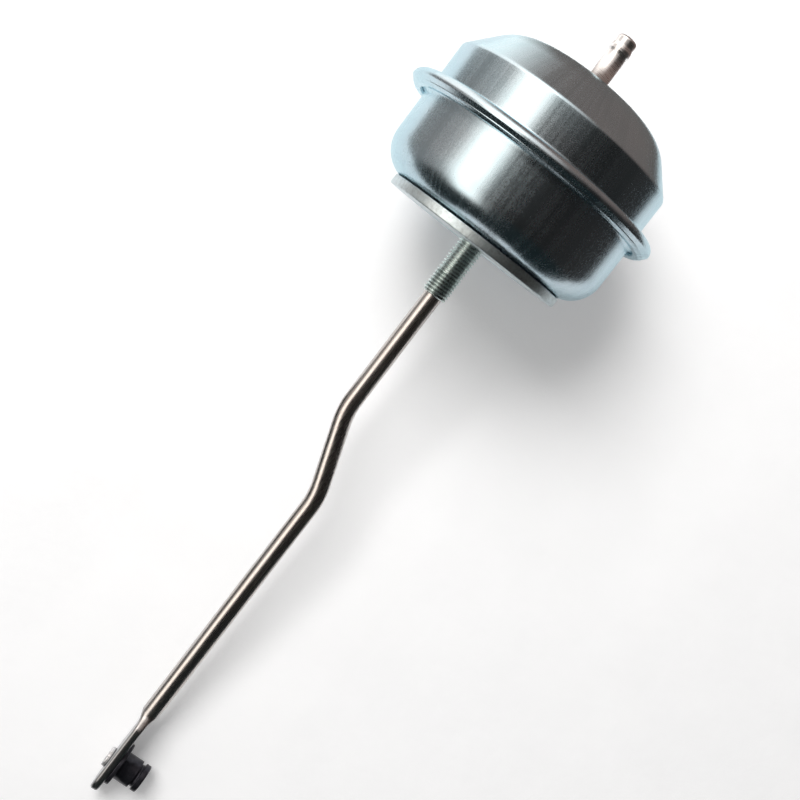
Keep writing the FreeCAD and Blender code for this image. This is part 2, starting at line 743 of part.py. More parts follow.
def make_rod():
    """Rod: headed spigot, shank, S-bend swept in one go, then a flattened eye."""
    head = SPIGOT + " + rod_head_reach"
    head_top = HEAD_BOTTOM + " + rod_head_height"
    body = new_body("actuator_rod")
    upper = new_sketch(body, "actuator_rod_upper_outline")
    draw_outline(upper, [
        ("axis", SWEEP_START),
        ("rod_radius", SWEEP_START),
        ("rod_radius", ROD_SHOULDER),
        (SPIGOT, ROD_SHOULDER),
        (SPIGOT, HEAD_BOTTOM),
        (head, HEAD_BOTTOM),
        (head, head_top + " - rod_head_round"),
        (head + " - rod_head_round", total(head_top)),
        ("axis", head_top),
    ], {
        6: (head + " - rod_head_round", head_top + " - rod_head_round", None, 1),
    })
    turn(body, upper, "actuator_rod_upper")

    section = new_sketch(body, "actuator_rod_section", "XY_Plane", SWEEP_START)
    circle = Part.Circle(FreeCAD.Vector(0, 0, 0), FreeCAD.Vector(0, 0, 1), total("rod_radius"))
    section.addGeometry(circle, False)
    section.addConstraint(Sketcher.Constraint("Coincident", 0, 3, -1, 1))
    hold_number(section, "Radius", 0, "rod_radius")
    path = new_sketch(body, "actuator_rod_path")
    draw_rod_path(path)
    sweep = body.newObject("PartDesign::AdditivePipe", "actuator_rod_s_bend")
    sweep.Profile = section
    sweep.Spine = (path, [""])

    eye_outline = new_sketch(body, "actuator_rod_eye_outline", "YZ_Plane", "rod_offset")
    low = EYE_FLAT + " - eye_flat_length + eye_half_width"
    draw_outline(eye_outline, [
        ("- eye_half_width", low),
        (total("eye_half_width"), low),
        ("eye_half_width", EYE_FLAT),
        ("- eye_half_width", EYE_FLAT),
    ], {
        0: ("axis", low, None, 1),
    })
    flat = body.newObject("PartDesign::Pad", "actuator_rod_flat")
    flat.Profile = eye_outline
    flat.Midplane = True
    flat.setExpression("Length", formula("eye_half_thick + eye_half_thick"))
    doc.recompute()

    rounded = round_eye(body, flat)
    taper_top = new_sketch(body, "actuator_rod_taper_top", "XY_Plane", "- eye_taper_start")
    circle = Part.Circle(FreeCAD.Vector(total("rod_offset"), 0, 0), FreeCAD.Vector(0, 0, 1),
                         total("rod_radius"))
    taper_top.addGeometry(circle, False)
    hold(taper_top, "DistanceX", (0, 3), "rod_offset")
    hold(taper_top, "DistanceY", (0, 3), "axis")
    hold_number(taper_top, "Radius", 0, "rod_radius")
    taper_low = new_sketch(body, "actuator_rod_taper_low", "XY_Plane", EYE_FLAT)
    draw_flat_oval(taper_low, "rod_offset", "eye_half_thick", "eye_half_width")
    taper = body.newObject("PartDesign::AdditiveLoft", "actuator_rod_taper")
    taper.Profile = taper_top
    taper.Sections = [taper_low]

    hole_outline = new_sketch(body, "actuator_rod_pin_hole_outline", "YZ_Plane", "rod_offset")
    circle = Part.Circle(FreeCAD.Vector(0, total(PIN_HEIGHT), 0), FreeCAD.Vector(0, 0, 1),
                         total("pin_shank_radius"))
    hole_outline.addGeometry(circle, False)
    hold(hole_outline, "DistanceX", (0, 3), "axis")
    hold(hole_outline, "DistanceY", (0, 3), PIN_HEIGHT)
    hold_number(hole_outline, "Radius", 0, "pin_shank_radius")
    hole = body.newObject("PartDesign::Pocket", "actuator_rod_pin_hole")
    hole.Profile = hole_outline
    hole.Midplane = True
    hole.setExpression("Length", formula("rod_radius + rod_radius"))
    body.Tip = hole


def round_eye(body, flat):
    """Round the long edges of the flattened end."""
    half = total("eye_half_thick")
    offset = total("rod_offset")
    high = total(EYE_FLAT)
    names = []
    for index, edge in enumerate(flat.Shape.Edges, start=1):
        box = edge.BoundBox
        on_face = box.XLength < 0.01 and abs(abs(box.XMin - offset) - half) < 0.01
        if on_face and box.ZMax < high + 0.01 and box.ZLength > 1.0:
            names.append("Edge%d" % index)
    fillet = body.newObject("PartDesign::Fillet", "actuator_rod_flat_rounded")
    fillet.Base = (flat, names)
    fillet.setExpression("Radius", formula("eye_edge_round"))
    return fillet


def make_pin():
    """Pin along +X, riveted in the eye; the empty groove takes a clip."""
    face = "eye_half_thick"
    flange = face + " + pin_flange_thick"
    journal = flange + " + pin_journal_length"
    groove = journal + " + pin_groove_width"
    end = groove + " + pin_land"
    back = "- eye_half_thick - pin_rivet_height"
    rivet = "pin_shank_radius + pin_rivet_reach"
    body = turned_part("pivot_pin", [
        ("axis", back),
        (rivet + " - pin_rivet_bevel", back),
        (rivet, back + " + pin_rivet_bevel"),
        (rivet, "- eye_half_thick"),
        ("pin_shank_radius", "- eye_half_thick"),
        ("pin_shank_radius", face),
        ("pin_journal_radius + pin_flange_reach", face),
        ("pin_journal_radius + pin_flange_reach", flange),
        ("pin_journal_radius", flange),
        ("pin_journal_radius", journal),
        ("pin_journal_radius - pin_groove_depth", journal),
        ("pin_journal_radius - pin_groove_depth", groove),
        ("pin_journal_radius", groove),
        ("pin_journal_radius", end + " - pin_bevel"),
        ("pin_journal_radius - pin_bevel", end),
        ("axis", end),
    ])
    sideways = FreeCAD.Rotation(FreeCAD.Vector(0, 1, 0), 90)
    body.Placement = FreeCAD.Placement(FreeCAD.Vector(0, 0, 0), sideways)
    body.setExpression(".Placement.Base.x", formula("rod_offset"))
    body.setExpression(".Placement.Base.z", formula(PIN_HEIGHT))


def check_and_export():
    """Stop on any fault, then write one file for each part."""
    doc.recompute()
    faults = []
    for item in doc.Objects:
        if "Invalid" in item.State or "Error" in item.State:
            faults.append(item.Name)
    parts = [item for item in doc.Objects if item.TypeId == "PartDesign::Body"]
    for part in parts:
        if part.Shape.isNull() or not part.Shape.isValid() or not part.Shape.Solids:
            faults.append(part.Label)
    if faults:
        raise ValueError("faults: " + ", ".join(faults))
    for part in parts:
        part.Shape.exportStep(os.path.join("parts", part.Label + ".step"))
        print(part.Label, round(part.Shape.Volume, 2), len(part.Shape.Solids))


fill_sheet()
make_plate()
make_neck()
make_bearing()
make_lower_shell()
make_upper_shell()
make_nipple()
make_piston_group()
make_diaphragm()
make_bumper()
make_spring_seats()
make_spring()
make_rod()
make_pin()
check_and_export()
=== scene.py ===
import json
import math

import bmesh
import bpy
from mathutils import Matrix, Vector


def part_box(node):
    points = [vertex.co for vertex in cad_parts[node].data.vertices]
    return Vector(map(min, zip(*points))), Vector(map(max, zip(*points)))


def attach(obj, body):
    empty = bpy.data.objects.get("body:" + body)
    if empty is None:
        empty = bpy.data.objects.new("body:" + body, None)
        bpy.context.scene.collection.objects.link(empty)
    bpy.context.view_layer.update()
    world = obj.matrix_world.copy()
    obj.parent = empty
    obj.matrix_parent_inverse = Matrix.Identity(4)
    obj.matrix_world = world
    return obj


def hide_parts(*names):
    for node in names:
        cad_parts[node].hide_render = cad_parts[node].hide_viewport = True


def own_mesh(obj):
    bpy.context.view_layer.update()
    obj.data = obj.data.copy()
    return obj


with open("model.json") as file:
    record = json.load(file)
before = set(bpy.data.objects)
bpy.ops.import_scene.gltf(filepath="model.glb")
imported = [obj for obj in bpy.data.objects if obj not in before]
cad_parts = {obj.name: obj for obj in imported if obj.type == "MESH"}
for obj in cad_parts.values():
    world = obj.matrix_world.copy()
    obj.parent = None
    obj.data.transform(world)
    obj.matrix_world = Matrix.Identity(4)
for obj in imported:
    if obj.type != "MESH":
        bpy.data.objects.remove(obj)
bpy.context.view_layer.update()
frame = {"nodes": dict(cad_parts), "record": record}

# Pieces are drawn in millimetres in the part's own frame, then scaled to metres.
# Heights (TOP, LOW, _Z) are along Z from the underside of the plate; the rest are radii
# and lengths.
MM = 0.001
TURN = 2 * math.pi

# Cans, rolled seam and plate
SHEET = 1.0
PLATE_RADIUS = 28.0
PLATE_TOP = 2.75
SHANK = 4.4
LOWER_WALL = 34.85
LOWER_CORNER = 9.65
UPPER_WALL = 34.45
WALL_TOP = 40.1
DOME_TOP = 52.0
SLOPE = math.radians(49.0)
CROWN = 13.5
SEAM_X = 38.15
SEAM_Z = 26.55
CURL = 2.2
CURL_INSIDE = CURL - SHEET
FLANGE_TOP = 26.35
HEM_X = 36.4

# Neck with its M8 x 1 thread, bevelled at its low end
CREST = 4.0
ROOT = 3.41
BEVELLED = 3.4
NECK_LOW = -17.3
NECK_BORE = 2.95
COLLAR = 9.0
COLLAR_TOP = 6.25
BOSS = 7.0
BOSS_BORE = 5.0
BOSS_FLOOR = 5.5
BOSS_TOP = 15.0

# Nipple
SEAT = 3.4
FOOT = 4.75
TUBE = 2.95
BARB = 3.15
TIP = 2.85
NIPPLE_BORE = 1.85
SEAT_TOP = 53.3
NIPPLE_TOP = 69.05
BRAZE = 1.3

# Rod, its eye and the pin
ROD = 2.75
ROD_TOP = 49.0
HEAD = 4.2
SPIGOT = 2.25
BEND = 25.0
BEND_START = -53.85
SLANT = math.radians(18.6)
OFFSET = 8.55
TAPER_START = -165.05
TAPER_LENGTH = 5.0
EYE_HALF = 6.0
EYE_THICK = 1.3
EYE_ROUND = 0.9
EYE_LOW = -188.8
PIN_Z = -184.6
PIN_SHANK = 2.3
PIN_RIVET = 3.0
PIN_FLANGE = 6.5
JOURNAL = 4.2
CLIP_GROOVE = 3.4

# Plane that the part lies on
FLOOR_UP = Vector((0.0, -1.0, 0.1615)).normalized()
FLOOR_AT = Vector((0.0, 40.45, 26.55)) * MM
FLOOR_TURN = Vector((0, 0, 1)).rotation_difference(FLOOR_UP).to_matrix().to_4x4()


# ---------------------------------------------------------------- meshes

def link(name, data):
    """New object in the scene that shows the data."""
    made = bpy.data.objects.new(name, data)
    bpy.context.scene.collection.objects.link(made)
    return made


def finish_mesh(name, points, faces):
    """New smooth object from points in millimetres; double points are joined."""
    mesh = bpy.data.meshes.new(name)
    mesh.from_pydata([(x * MM, y * MM, z * MM) for x, y, z in points], [], faces)
    work = bmesh.new()
    work.from_mesh(mesh)
    bmesh.ops.remove_doubles(work, verts=work.verts, dist=0.002 * MM)
    bmesh.ops.dissolve_degenerate(work, edges=work.edges, dist=0.0005 * MM)
    bmesh.ops.recalc_face_normals(work, faces=work.faces)
    for face in work.faces:
        face.smooth = True
    work.to_mesh(mesh)
    work.free()
    return link(name, mesh)


def arc(x, z, radius, first, last, steps):
    """Points of an arc in the outline plane, angles in degrees from +X."""
    result = []
    for i in range(steps + 1):
        angle = math.radians(first + (last - first) * i / steps)
        result.append((x + radius * math.cos(angle), z + radius * math.sin(angle)))
    return result


def round_ring(radius, count):
    """Points of a circle round the origin."""
    angles = [TURN * i / count for i in range(count)]
    return [(radius * math.cos(angle), radius * math.sin(angle)) for angle in angles]


def soften(corners, steps=5):
    """Closed outline whose corners with a third number are rounded to that radius."""
    result = []
    count = len(corners)
    for i, corner in enumerate(corners):
        here = Vector(corner[:2])
        if len(corner) < 3:
            result.append(here)
            continue
        radius = corner[2]
        before = (Vector(corners[i - 1][:2]) - here).normalized()
        after = (Vector(corners[(i + 1) % count][:2]) - here).normalized()
        half = before.angle(after) / 2
        reach = radius / math.tan(half)
        centre = here + (before + after).normalized() * (radius / math.sin(half))
        first = here + before * reach - centre
        last = here + after * reach - centre
        sweep = first.angle(last)
        room = min((Vector(corners[i - 1][:2]) - here).length - reach,
                   (Vector(corners[(i + 1) % count][:2]) - here).length - reach)
        spare = min(0.4 * radius, 0.3 * room)
        if spare > 0.01:
            result.append(centre + first + before * spare)
        for k in range(steps + 1):
            share = k / steps
            mixed = first * math.sin((1 - share) * sweep) + last * math.sin(share * sweep)
            result.append(centre + mixed / math.sin(sweep))
        if spare > 0.01:
            result.append(centre + last + after * spare)
    return [(point[0], point[1]) for point in result]


def spin(name, outline, segments=192, wobble=None):
    """Closed outline in radius and height turned about Z; wobble may change a radius."""
    points = []
    faces = []
    count = len(outline)
    for i in range(segments):
        angle = TURN * i / segments
        for radius, height in outline:
            if wobble:
                radius = wobble(radius, angle)
            points.append((radius * math.cos(angle), radius * math.sin(angle), height))
    for i in range(segments):
        here = i * count
        after = (i + 1) % segments * count
        for k in range(count):
            nxt = (k + 1) % count
            faces.append((here + k, after + k, after + nxt, here + nxt))
    return finish_mesh(name, points, faces)


def dress(piece, node, body, slot):
    """The piece stands for a CAD node, rides on its body and takes its finish."""
    piece.data.materials.append(finishes[slot])
    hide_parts(node)
    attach(piece, body)


# ------------------------------------------------------------- materials

class Finish:
    """A material and short calls for its nodes."""

    def __init__(self, name, **shader):
        self.material = bpy.data.materials.new(name)
        self.material.use_nodes = True
        self.tree = self.material.node_tree
        self.shader = self.tree.nodes["Principled BSDF"]
        for key, value in shader.items():
            self.shader.inputs[key.replace("_", " ")].default_value = value
        where = self.add("ShaderNodeTexCoord").outputs["Object"]
        self.place = self.vector("SCALE", where, scale=1000.0)
        split = self.add("ShaderNodeSeparateXYZ", Vector=self.place)
        self.x, self.y, self.z = split.outputs

    def add(self, kind, settings=None, **inputs):
        made = self.tree.nodes.new(kind)
        for key, value in (settings or {}).items():
            setattr(made, key, value)
        for key, value in inputs.items():
            self.put(made.inputs[key], value)
        return made

    def put(self, socket, value):
        if isinstance(value, bpy.types.NodeSocket):
            self.tree.links.new(value, socket)
        else:
            socket.default_value = value

    def vector(self, operation, first, second=None, scale=None):
        made = self.add("ShaderNodeVectorMath", {"operation": operation})
        self.put(made.inputs[0], first)
        if second is not None:
            self.put(made.inputs[1], second)
        if scale is not None:
            self.put(made.inputs["Scale"], scale)
        return made.outputs[0]

    def math(self, operation, first, second):
        made = self.add("ShaderNodeMath", {"operation": operation})
        self.put(made.inputs[0], first)
        self.put(made.inputs[1], second)
        return made.outputs[0]

    def join(self, x, y, z):
        return self.add("ShaderNodeCombineXYZ", X=x, Y=y, Z=z).outputs[0]

    def radius(self):
        """Distance from the main axis in millimetres."""
        return self.vector_length(self.join(self.x, self.y, 0.0))

    def vector_length(self, value):
        made = self.add("ShaderNodeVectorMath", {"operation": "LENGTH"})
        self.put(made.inputs[0], value)
        return made.outputs["Value"]

    def noise(self, scale, detail=3.0, rough=0.5, place=None, seed=0.0):
        """Smooth noise; scale is in features per millimetre."""
        moved = self.vector("ADD", place or self.place, (seed, seed * 0.7, -seed))
        return self.add("ShaderNodeTexNoise", Vector=moved, Scale=scale, Detail=detail,
                        Roughness=rough).outputs["Fac"]

    def around(self, across, along):
        """Place that changes round the axis by across and along it by along."""
        flat = self.join(self.x, self.y, 0.0)
        ring = self.vector("SCALE", self.vector("NORMALIZE", flat), scale=across)
        rise = self.join(0.0, 0.0, self.math("MULTIPLY", self.z, along))
        return self.vector("ADD", ring, rise)

    def ramp(self, value, stops):
        """Colours or grey levels at their stops, mixed between them."""
        made = self.add("ShaderNodeValToRGB", Fac=value)
        points = made.color_ramp.elements
        while len(points) < len(stops):
            points.new(0.5)
        for point, (place, colour) in zip(points, stops):
            point.position = place
            if not isinstance(colour, tuple):
                colour = (colour, colour, colour)
            point.color = (*colour, 1.0)
        return made.outputs["Color"]

    def spread(self, value, low, high, to_low, to_high):
        """Value from low to high carried over to to_low to to_high, held beyond them."""
        made = self.add("ShaderNodeMapRange")
        for socket, number in zip(made.inputs, (value, low, high, to_low, to_high)):
            self.put(socket, number)
        return made.outputs["Result"]

    def mix(self, factor, first, second, kind="MIX"):
        made = self.add("ShaderNodeMix", {"data_type": "RGBA", "blend_type": kind})
        self.put(made.inputs["Factor"], factor)
        for socket, value in ((made.inputs[6], first), (made.inputs[7], second)):
            self.put(socket, (*value, 1.0) if isinstance(value, tuple) else value)
        return made.outputs[2]

    def colour(self, value):
        self.put(self.shader.inputs["Base Color"], value)

    def rough(self, value):
        self.put(self.shader.inputs["Roughness"], value)

    def bump(self, *layers):
        """Layers of (height, strength, depth in millimetres)."""
        normal = None
        for height, strength, depth in layers:
            made = self.add("ShaderNodeBump", Height=height, Strength=strength, Distance=depth * MM)
            if normal is not None:
                self.put(made.inputs["Normal"], normal)
            normal = made.outputs["Normal"]
        self.put(self.shader.inputs["Normal"], normal)


def zinc_can():
    """Deep-drawn sheet with a blue-white zinc plating."""
    f = Finish("zinc_can", Metallic=1.0, Specular_Tint=(0.80, 0.93, 0.96, 1.0))
    cloud = f.noise(0.055, 3.0, 0.55)
    streak = f.noise(1.0, 4.0, 0.6, f.around(22.0, 0.012), 3.0)
    fine = f.noise(1.0, 3.0, 0.6, f.around(90.0, 0.03), 9.0)
    grain = f.noise(2.2, 2.0, 0.6)
    base = f.ramp(cloud, [(0.3, (0.47, 0.60, 0.66)), (0.5, (0.54, 0.67, 0.73)),
                          (0.7, (0.60, 0.70, 0.75))])
    base = f.mix(f.spread(streak, 0.35, 0.7, 0.0, 0.35), base, (0.66, 0.77, 0.85))
    tint = f.noise(0.03, 2.0, 0.5, seed=5.0)
    base = f.mix(f.spread(tint, 0.45, 0.65, 0.0, 0.25), base, (0.57, 0.57, 0.62))
    base = f.mix(f.spread(grain, 0.35, 0.7, 0.12, 0.0), base, (0.30, 0.36, 0.41))
    f.colour(base)
    f.rough(f.math("ADD", f.spread(streak, 0.3, 0.7, 0.22, 0.29),
                   f.spread(grain, 0.3, 0.7, -0.02, 0.03)))
    f.bump((streak, 0.18, 0.04), (fine, 0.15, 0.012), (grain, 0.09, 0.02))
    return f.material


def zinc_plate():
    """Stamped plate: pitted faces and a coarse sheared rim."""
    f = Finish("zinc_plate", Metallic=1.0)
    pits = f.noise(0.9, 4.0, 0.65)
    cloud = f.noise(0.12, 3.0, 0.6, seed=2.0)
    rim = f.noise(1.0, 3.0, 0.6, f.around(60.0, 0.25), 4.0)
    base = f.ramp(cloud, [(0.3, (0.60, 0.70, 0.73)), (0.7, (0.78, 0.86, 0.88))])
    base = f.mix(f.spread(pits, 0.3, 0.6, 0.5, 0.0), base, (0.36, 0.41, 0.42))
    f.colour(base)
    f.rough(f.spread(pits, 0.3, 0.7, 0.50, 0.34))
    f.bump((pits, 0.7, 0.10), (rim, 0.6, 0.08))
    return f.material


def zinc_neck():
    """Cut thread whose roots carry painted shade, darker than its crests."""
    f = Finish("zinc_neck", Metallic=1.0)
    grain = f.noise(3.0, 3.0, 0.6)
    cloud = f.noise(0.4, 3.0, 0.6, seed=1.0)
    base = f.ramp(cloud, [(0.3, (0.66, 0.76, 0.74)), (0.7, (0.82, 0.90, 0.88))])
    # Painted shade: below the plate the thread roots are mixed towards a near-black (0.16, 0.18,
    # 0.18) by their nearness to the axis.
    painted_root_shade = f.spread(f.radius(), 3.42, 3.8, 0.45, 0.0)
    below = f.spread(f.z, -0.2, 0.2, 1.0, 0.0)
    base = f.mix(f.math("MULTIPLY", painted_root_shade, below), base, (0.16, 0.18, 0.18))
    f.colour(base)
    f.rough(f.spread(grain, 0.3, 0.7, 0.22, 0.36))
    f.bump((grain, 0.4, 0.04))
    return f.material


def drawn_steel(name, dark, light, rough_low, rough_high, across):
    """Drawn or pressed steel with marks along its length."""
    f = Finish(name, Metallic=1.0)
    marks = f.noise(1.0, 4.0, 0.65, f.around(across, 0.02), 2.0)
    spots = f.noise(0.5, 3.0, 0.6, seed=6.0)
    base = f.ramp(marks, [(0.3, dark), (0.7, light)])
    base = f.mix(f.spread(spots, 0.55, 0.75, 0.0, 0.3), base, dark)
    f.colour(base)
    f.rough(f.spread(marks, 0.3, 0.7, rough_low, rough_high))
    f.bump((marks, 0.3, 0.015), (f.noise(4.0, 2.0, 0.5), 0.15, 0.01))
    return f.material


def rod_steel():
    """Polished steel rod; the pressed end is greyer and hammered."""
    f = Finish("rod_steel", Metallic=1.0)
    lengthwise = f.join(f.math("MULTIPLY", f.x, 2.6), f.math("MULTIPLY", f.y, 2.6),
                        f.math("MULTIPLY", f.z, 0.05))
    marks = f.noise(1.0, 4.0, 0.65, lengthwise, 2.0)
    grain = f.noise(2.5, 3.0, 0.6)
    patches = f.noise(0.11, 3.0, 0.55, seed=8.0)
    base = f.ramp(marks, [(0.3, (0.52, 0.49, 0.47)), (0.7, (0.74, 0.71, 0.68))])
    base = f.mix(f.spread(patches, 0.45, 0.7, 0.0, 0.4), base, (0.60, 0.53, 0.49))
    pressed = f.spread(f.z, -170.5, -161.5, 1.0, 0.0)
    base = f.mix(f.math("MULTIPLY", pressed, 0.75), base, (0.38, 0.40, 0.42))
    base = f.mix(f.spread(grain, 0.35, 0.6, 0.25, 0.0), base, (0.22, 0.21, 0.20))
    f.colour(base)
    f.rough(f.math("ADD", f.spread(marks, 0.3, 0.7, 0.22, 0.34),
                   f.math("MULTIPLY", pressed, 0.04)))
    f.bump((marks, 0.25, 0.02), (grain, 0.2, 0.012))
    return f.material


def nipple_steel():
    """Turned tube with fine rings from the tool."""
    f = Finish("nipple_steel", Metallic=1.0)
    rings = f.noise(1.0, 3.0, 0.6, f.around(1.2, 7.0), 1.0)
    cloud = f.noise(0.35, 3.0, 0.6)
    base = f.ramp(cloud, [(0.3, (0.76, 0.76, 0.76)), (0.7, (0.90, 0.89, 0.88))])
    base = f.mix(f.spread(rings, 0.35, 0.6, 0.3, 0.0), base, (0.50, 0.50, 0.51))
    f.colour(base)
    f.rough(f.spread(rings, 0.3, 0.7, 0.24, 0.34))
    f.bump((rings, 0.3, 0.012))
    return f.material


def black_steel():
    """Black oxide, worn grey on the riveted end."""
    f = Finish("black_steel", Metallic=0.75)
    cloud = f.noise(0.6, 4.0, 0.6)
    grain = f.noise(5.0, 3.0, 0.6)
    base = f.ramp(cloud, [(0.3, (0.018, 0.018, 0.024)), (0.75, (0.05, 0.05, 0.062))])
    base = f.mix(f.spread(grain, 0.55, 0.75, 0.0, 0.35), base, (0.10, 0.10, 0.12))
    worn = f.spread(f.x, 6.85, 7.25, 1.0, 0.0)
    patchy = f.spread(f.noise(1.6, 3.0, 0.6, seed=3.0), 0.35, 0.6, 0.45, 1.0)
    worn = f.math("MULTIPLY", worn, patchy)
    base = f.mix(worn, base, (0.82, 0.82, 0.83))
    f.colour(base)
    f.rough(f.spread(grain, 0.3, 0.7, 0.30, 0.44))
    f.bump((grain, 0.25, 0.02), (cloud, 0.15, 0.03))
    return f.material


def braze():
    """Brass run round the foot of the nipple."""
    f = Finish("braze", Metallic=1.0)
    cloud = f.noise(1.4, 3.0, 0.6)
    f.colour(f.ramp(cloud, [(0.3, (0.42, 0.31, 0.15)), (0.7, (0.72, 0.58, 0.32))]))
    f.rough(f.spread(cloud, 0.3, 0.7, 0.45, 0.28))
    f.bump((cloud, 0.4, 0.05))
    return f.material


def bronze():
    """Sintered bearing bronze, full of small pores."""
    f = Finish("bronze", Metallic=1.0)
    pores = f.noise(5.0, 3.0, 0.7)
    f.colour(f.ramp(pores, [(0.35, (0.16, 0.09, 0.04)), (0.5, (0.52, 0.34, 0.17))]))
    f.rough(f.spread(pores, 0.3, 0.7, 0.6, 0.35))
    f.bump((pores, 0.5, 0.03))
    return f.material


def nylon():
    """Moulded nylon, off-white and slightly see-through."""
    f = Finish("nylon")
    f.shader.inputs["Subsurface Weight"].default_value = 0.2
    f.shader.inputs["Subsurface Scale"].default_value = 0.001
    cloud = f.noise(0.5, 3.0, 0.5)
    f.colour(f.ramp(cloud, [(0.3, (0.68, 0.66, 0.60)), (0.7, (0.78, 0.76, 0.70))]))
    f.rough(f.spread(cloud, 0.3, 0.7, 0.38, 0.5))
    f.bump((f.noise(4.0, 2.0, 0.5), 0.2, 0.01))
    return f.material


def felt():
    """Pressed grey felt with loose fibres."""
    f = Finish("felt")
    f.shader.inputs["Sheen Weight"].default_value = 0.4
    fibres = f.noise(1.0, 5.0, 0.7, f.vector("MULTIPLY", f.place, (9.0, 9.0, 2.5)))
    f.colour(f.ramp(fibres, [(0.3, (0.20, 0.19, 0.17)), (0.7, (0.42, 0.40, 0.36))]))
    f.rough(f.spread(fibres, 0.3, 0.7, 0.95, 0.85))
    f.bump((fibres, 0.8, 0.06))
    return f.material


def rubber(name, dark, light, weave):
    """Matt black rubber, with a cloth weave pressed in where asked."""
    f = Finish(name)
    cloud = f.noise(0.3, 3.0, 0.5)
    fine = f.noise(3.5, 3.0, 0.6)
    both = f.math("ADD", f.math("MULTIPLY", cloud, 0.6), f.math("MULTIPLY", fine, 0.4))
    f.colour(f.ramp(both, [(0.35, dark), (0.65, light)]))
    f.rough(f.spread(fine, 0.3, 0.7, 0.55, 0.75))
    layers = [(fine, 0.3, 0.02)]
    if weave:
        warp = f.add("ShaderNodeTexWave", Vector=f.around(34.0, 0.0), Scale=1.0, Distortion=0.2)
        weft = f.add("ShaderNodeTexWave", {"bands_direction": "Z"}, Vector=f.place, Scale=0.5,
                     Distortion=0.2)
        layers.append((f.math("MULTIPLY", warp.outputs["Fac"], weft.outputs["Fac"]), 0.3, 0.05))
    f.bump(*layers)
    return f.material


finishes = {
    "zinc_can": zinc_can(),
    "zinc_plate": zinc_plate(),
    "zinc_neck": zinc_neck(),
    "nipple_steel": nipple_steel(),
    "braze": braze(),
    "inner_steel": drawn_steel("inner_steel", (0.42, 0.43, 0.44), (0.60, 0.61, 0.62),
                               0.28, 0.42, 40.0),
    "spring_steel": drawn_steel("spring_steel", (0.15, 0.15, 0.16), (0.34, 0.34, 0.35),
                                0.28, 0.40, 50.0),
    "rod_steel": rod_steel(),
    "black_steel": black_steel(),
    "bronze": bronze(),
    "nylon": nylon(),
    "felt": felt(),
    "diaphragm_rubber": rubber("diaphragm_rubber", (0.012, 0.012, 0.013),
                               (0.035, 0.035, 0.037), True),
    "bumper_rubber": rubber("bumper_rubber", (0.015, 0.014, 0.013),
                            (0.045, 0.043, 0.041), False),
}
slot_of = {row["node"]: row["material_slot"] for row in frame["record"]["subparts"]}
for name, made in frame["nodes"].items():
    made.data.materials.clear()
    made.data.materials.append(finishes[slot_of[name]])


# ------------------------------------------------------- cans and plate

CROWN_X = UPPER_WALL - (DOME_TOP - WALL_TOP) / math.tan(SLOPE) - CROWN * math.tan(SLOPE / 2)
CROWN_Z = DOME_TOP - CROWN


def crown(radius, steps):
    """Arc from the top of the dome's cone to its flat middle."""
    return arc(CROWN_X, CROWN_Z, radius, 90.0 - math.degrees(SLOPE), 90.0, steps)


def upper_can():
    """Domed can: up its inside, round the seam and up its outside."""
    inner_wall = UPPER_WALL - SHEET
    inner_crown = crown(CROWN - SHEET, 14)
    cone_x, cone_z = inner_crown[0]
    inner_shoulder = cone_z - (inner_wall - cone_x) * math.tan(SLOPE)
    inside = [(SEAT, DOME_TOP - SHEET)] + inner_crown[::-1] + [
        (inner_wall, inner_shoulder, 0.9), (inner_wall, SEAM_Z + CURL_INSIDE, 0.5)]
    inside += arc(SEAM_X, SEAM_Z, CURL_INSIDE, 90, -90, 20)
    hem = [(HEM_X, SEAM_Z - CURL_INSIDE, 0.3), (HEM_X, SEAM_Z - CURL, 0.3),
           (38.3, SEAM_Z - CURL, 0.5), (39.1, 25.0), (39.3, 25.05, 0.08), (39.3, 25.25, 0.08),
           (39.35, 25.3), (40.35, 26.3, 0.5)]
    outside = arc(SEAM_X, SEAM_Z, CURL, 4, 90, 20)
    outside += [(UPPER_WALL, SEAM_Z + CURL, 0.8), (UPPER_WALL, WALL_TOP, 1.7)]
    outside += crown(CROWN, 20) + [(SEAT, DOME_TOP)]
    return soften(inside + hem + outside, 7)


def lower_can():
    """Cup with a large corner and a flange that ends in the rolled seam."""
    corner_x = LOWER_WALL - LOWER_CORNER
    corner_z = PLATE_TOP + LOWER_CORNER
    return soften(
        [(SHANK, PLATE_TOP)]
        + arc(corner_x, corner_z, LOWER_CORNER, -90, 0, 24)
        + [(LOWER_WALL, FLANGE_TOP - SHEET, 1.5), (SEAM_X, FLANGE_TOP - SHEET),
           (SEAM_X, FLANGE_TOP), (LOWER_WALL - SHEET, FLANGE_TOP, 0.6)]
        + arc(corner_x, corner_z, LOWER_CORNER - SHEET, 0, -90, 20)
        + [(SHANK, PLATE_TOP + SHEET)])


plate = soften([(SHANK, 0.0), (PLATE_RADIUS, 0.0, 0.45), (PLATE_RADIUS, PLATE_TOP, 0.3),
                (SHANK, PLATE_TOP)])
dress(spin("domed_can", upper_can()), "upper_shell", "housing", "zinc_can")
dress(spin("lower_can", lower_can()), "lower_shell", "housing", "zinc_can")
dress(spin("round_plate", plate), "mounting_plate", "housing", "zinc_plate")


# ----------------------------------------------------------------- neck

def thread_radius(share):
    """Radius over one pitch of the thread, share from 0 to 1."""
    crest_end, root_start = 0.0625, 0.375
    share = min(share, 1.0 - share)
    if share < crest_end:
        return CREST
    if share < root_start:
        return CREST - (CREST - ROOT) * (share - crest_end) / (root_start - crest_end)
    return ROOT


